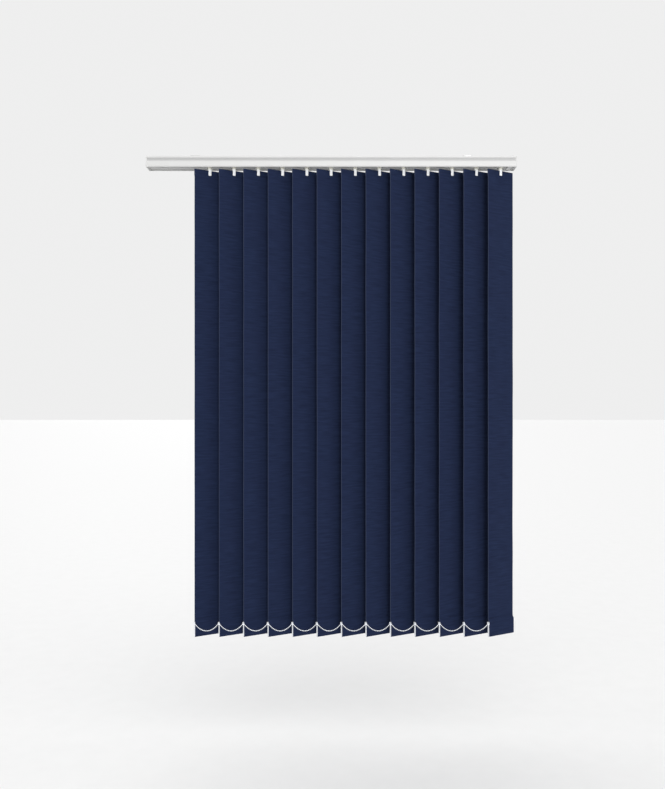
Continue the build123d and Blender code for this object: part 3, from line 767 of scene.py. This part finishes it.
# %% Bead by bead
def make_chain(side, end):
    """One chain through all the lugs at this end of the weights."""
    outward = Vector((0, end * OUTWARD, 0))
    lug_offset = along_vane * end * (HALF_WEIGHT + LUG_LENGTH / 2) + forward * chain_forward[side]
    lugs = [Vector((x, 0, 0)) + lug_offset + outward for x in hook_x.values()]
    half_lug = LUG_LENGTH / 2 + LUG_GAP
    y = lugs[0].y
    line = [Vector((lugs[0].x - 0.9 * half_lug, y, SEAT))]
    beads = []
    count = round(SPAN_LENGTH / BEAD_PITCH)
    for lug in lugs[:-1]:
        start_x = lug.x + half_lug
        for step in range(SPAN_STEPS + 1):
            line.append(on_span(start_x, y, SPAN_LENGTH * step / SPAN_STEPS))
        for step in range(count):
            beads.append(on_span(start_x, y, SPAN_LENGTH * (step + 0.5) / count))
    line.append(Vector((lugs[-1].x + 0.9 * half_lug, y, SEAT)))
    # the string: a path swept into a round tube
    path = bpy.data.curves.new(f"string_{side}", "CURVE")
    path.dimensions = "3D"
    spline = path.splines.new("POLY")
    spline.points.add(len(line) - 1)
    for point, place in zip(spline.points, line):
        point.co = (*place, 1)
    path.bevel_depth = STRING_RADIUS
    path.bevel_resolution = 1
    path.use_fill_caps = True
    chain = bpy.data.objects.new(f"bead_chain_{side}", path)
    bpy.context.collection.objects.link(chain)
    only(chain)
    bpy.ops.object.convert(target="MESH")
    chain = bpy.context.object
    tidy_mesh(chain)
    # the beads: one low sphere, its poles along the string, copied to every place
    only_nothing()
    bpy.ops.mesh.primitive_uv_sphere_add(segments=8, ring_count=6, radius=BEAD_RADIUS)
    bead = bpy.context.object
    bead.rotation_euler = (0, pi / 2, 0)
    bpy.ops.object.transform_apply(location=True, rotation=True, scale=True)
    copies = [placed_copy(bead, "bead", Matrix.Translation(place)) for place in beads]
    bpy.data.objects.remove(bead, do_unlink=True)
    only(chain)
    for copy in copies:
        copy.select_set(True)
    bpy.ops.object.join()
    chain = bpy.context.object
    chain.name = f"bead_chain_{side}"
    smooth(chain, 60)
    finish_with(chain, bead_plastic)
    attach(chain, f"bottom_chain_{side}")
    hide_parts(f"bottom_chain_{side}")
    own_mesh(chain)
    return chain, len(beads)


for side, end in (("front", -1), ("back", 1)):
    chain, bead_count = make_chain(side, end)
    print(chain.name, "has", bead_count, "beads and", len(chain.data.polygons), "faces")

# %% [markdown]
# ## The hooks
# A hook is one moulding: a pinion, a stem, and a fork that grips the top of the vane. The
# construction model has its shape with sharp edges. A copy of it is merged, its flat faces are
# joined up, and a small bevel rounds the edges as a mould does. One hook serves all thirteen.

# %% Soften the hook
def soft_copy(node, name, to_master, width):
    """A merged copy of a model node in its master position, with its sharp edges rounded."""
    source = frame["nodes"][node]
    piece = source.copy()
    piece.data = source.data.copy()
    piece.parent = None
    for key in [key for key in piece.keys() if key.startswith("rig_")]:
        del piece[key]
    bpy.context.collection.objects.link(piece)
    piece.name = name
    piece.data.transform(to_master)
    only(piece)
    bpy.ops.object.mode_set(mode="EDIT")
    bpy.ops.mesh.select_all(action="SELECT")
    bpy.ops.mesh.remove_doubles(threshold=2e-6)
    bpy.ops.mesh.dissolve_limited(angle_limit=radians(0.5))
    bpy.ops.object.mode_set(mode="OBJECT")
    modify(piece, "BEVEL", width=width, segments=2, limit_method="ANGLE", angle_limit=radians(30))
    return piece


hook_master = soft_copy("vane_hook_13", "hook_master", vane_place("13").inverted(), 0.25 * MM)
for name in hook_x:
    hook = placed_copy(hook_master, f"tilt_hook_{name}", vane_place(name))
    smooth(hook)
    finish_with(hook, hook_plastic)
    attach(hook, f"vane_{name}")
    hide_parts(f"vane_hook_{name}")
bpy.data.objects.remove(hook_master, do_unlink=True)
print("hooks made:", len(hook_x))

# %% [markdown]
# ## The worms
# In each carrier a worm slides on the rod, and its thread turns the pinion of the hook. A
# cylinder makes the sleeve, and a tooth profile swept by a Screw modifier makes the thread.
# The thread keeps inside the plain sleeve that stood for it, so it clears what that cleared.

# %% Model the worm
WORM_TIP = 4.4 * MM
WORM_ROOT = 3.5 * MM
WORM_LEAD = 2.6 * MM
WORM_BORE = 2.65 * MM
PLAIN_ENDS = 5 * MM  # of the sleeve, left without a thread
worm_low, worm_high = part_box("worm_01")
rod_axis = joint_at["worm_turn_01"]


def make_worm():
    """A sleeve with a helical thread, on the X axis, with its middle at the origin."""
    length = worm_high.x - worm_low.x
    only_nothing()
    bpy.ops.mesh.primitive_cylinder_add(
        vertices=32, radius=WORM_ROOT, depth=length, rotation=(0, pi / 2, 0)
    )
    sleeve = bpy.context.object
    sleeve.name = "worm_sleeve"
    bpy.ops.object.transform_apply(location=True, rotation=True, scale=True)
    only_nothing()
    bpy.ops.mesh.primitive_cylinder_add(
        vertices=32, radius=WORM_BORE, depth=length * 1.2, rotation=(0, pi / 2, 0)
    )
    carve(sleeve, bpy.context.object)
    # one tooth, as a closed outline that the Screw modifier carries along and round the axis
    turns = int((length - PLAIN_ENDS) / WORM_LEAD)
    start = -turns * WORM_LEAD / 2 - WORM_LEAD / 2
    only_nothing()
    bpy.ops.mesh.primitive_plane_add(size=1)
    tooth = bpy.context.object
    tooth.name = "worm_thread"
    corners = [
        (start + 0.2 * MM, WORM_ROOT - 0.15 * MM), (start + 1.9 * MM, WORM_ROOT - 0.15 * MM),
        (start + 1.4 * MM, WORM_TIP), (start + 0.7 * MM, WORM_TIP),
    ]
    bpy.ops.object.mode_set(mode="EDIT")
    bpy.ops.mesh.delete(type="ONLY_FACE")
    bpy.ops.object.mode_set(mode="OBJECT")
    order = [0, 1, 3, 2]
    for index, (along, outward) in zip(order, corners):
        tooth.data.vertices[index].co = (along, 0, outward)
    modify(
        tooth, "SCREW", axis="X", angle=2 * pi, screw_offset=WORM_LEAD, iterations=turns,
        steps=24, render_steps=24, use_merge_vertices=True, use_normal_calculate=True,
    )
    only(tooth)
    bpy.ops.object.mode_set(mode="EDIT")
    bpy.ops.mesh.select_all(action="DESELECT")
    bpy.ops.mesh.select_non_manifold()
    bpy.ops.mesh.edge_face_add()
    bpy.ops.object.mode_set(mode="OBJECT")
    tidy_mesh(tooth)
    only(sleeve)
    tooth.select_set(True)
    bpy.ops.object.join()
    worm = bpy.context.object
    tidy_mesh(worm)
    return worm


worm_master = make_worm()
print("worm", [round(v, 4) for v in worm_master.dimensions])
for name, x in hook_x.items():
    on_rod = Matrix.Translation((x, rod_axis.y, rod_axis.z))
    worm = placed_copy(worm_master, f"threaded_worm_{name}", on_rod)
    smooth(worm, 40)
    finish_with(worm, gear_plastic)
    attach(worm, f"worm_{name}")
    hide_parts(f"worm_{name}")
bpy.data.objects.remove(worm_master, do_unlink=True)

# %% [markdown]
# ## Finishes for the parts that stay
# The rail, caps, brackets, carriers, tilt rod and sprocket are already the right shape. Each
# only needs its own finish in place of the plain one it arrived with.

# %% Assign the finishes
finish_of = {
    "headrail": white_enamel,
    "return_end_cap": cap_plastic,
    "control_end_cap": cap_plastic,
    "mounting_brackets": bracket_steel,
    "tilt_rod": rod_aluminium,
    "control_sprocket": gear_plastic,
    "carrier": carrier_plastic,
}
for node, piece in frame["nodes"].items():
    material = finish_of.get(node) or finish_of.get(node.rstrip("0123456789").rstrip("_"))
    if material is None:
        continue
    piece.data.materials.clear()
    piece.data.materials.append(material)
print("finished", sum(1 for piece in frame["nodes"].values() if not piece.hide_render), "nodes")

# %% [markdown]
# ## The studio
# A pale floor well below the vanes, a white surround, and soft light from above, from in front
# and from behind. Light from one direction stays even over a wide floor, where a lamp near it
# leaves a bright patch. The camera stands level in front, a little below the blind's middle.

# %% The floor
FLOOR_SIZE = 80
FLOOR_LEVEL = -1.62
only_nothing()
bpy.ops.mesh.primitive_plane_add(size=FLOOR_SIZE, location=(0, 0, FLOOR_LEVEL))
floor = bpy.context.object
floor.name = "studio_floor"
floor_finish = moulded(
    "studio_floor_finish", (0.80, 0.80, 0.80), (0.84, 0.84, 0.84), (0.7, 0.8), 0.004, 0.0001
)
floor.data.materials.append(floor_finish)


# %% The surround and the lights
def make_surround(seen, cast):
    """A pale surround that looks brighter than the light that it casts."""
    world = bpy.data.worlds.new("studio_world")
    world.use_nodes = True
    tree = world.node_tree
    ray = add_node(tree, "ShaderNodeLightPath")
    level = add_node(tree, "ShaderNodeMapRange")
    level.inputs["To Min"].default_value = cast
    level.inputs["To Max"].default_value = seen
    tree.links.new(ray.outputs["Is Camera Ray"], level.inputs["Value"])
    tree.links.new(level.outputs["Result"], tree.nodes["Background"].inputs["Strength"])
    tree.nodes["Background"].inputs["Color"].default_value = (1.0, 1.0, 1.0, 1)
    bpy.context.scene.world = world


make_surround(seen=0.86, cast=0.56)
bpy.context.scene.view_settings.view_transform = "Standard"


def soft_light(name, place, strength, spread):
    """Even light from one direction, as from a large lamp far off."""
    light = bpy.data.lights.new(name, "SUN")
    light.energy = strength
    light.angle = radians(spread)
    stand = bpy.data.objects.new(name, light)
    stand.rotation_euler = (-Vector(place)).to_track_quat("-Z", "Y").to_euler()
    bpy.context.collection.objects.link(stand)


soft_light("overhead_light", (0, 0, 1), 1.4, 110)
soft_light("key_light", (0.9, -4.6, 0), 1.95, 24)
soft_light("back_light", (-0.6, 4.2, 2.0), 0.65, 32)

# %% The camera
camera_data = bpy.data.cameras.new("camera")
camera_data.lens = 35.54
camera_data.shift_y = 0.0103
camera = bpy.data.objects.new("camera", camera_data)
camera.location = (0.0032, -2.19, -0.6892)
camera.rotation_euler = (pi / 2, 0, 0)
bpy.context.collection.objects.link(camera)
bpy.context.scene.camera = camera
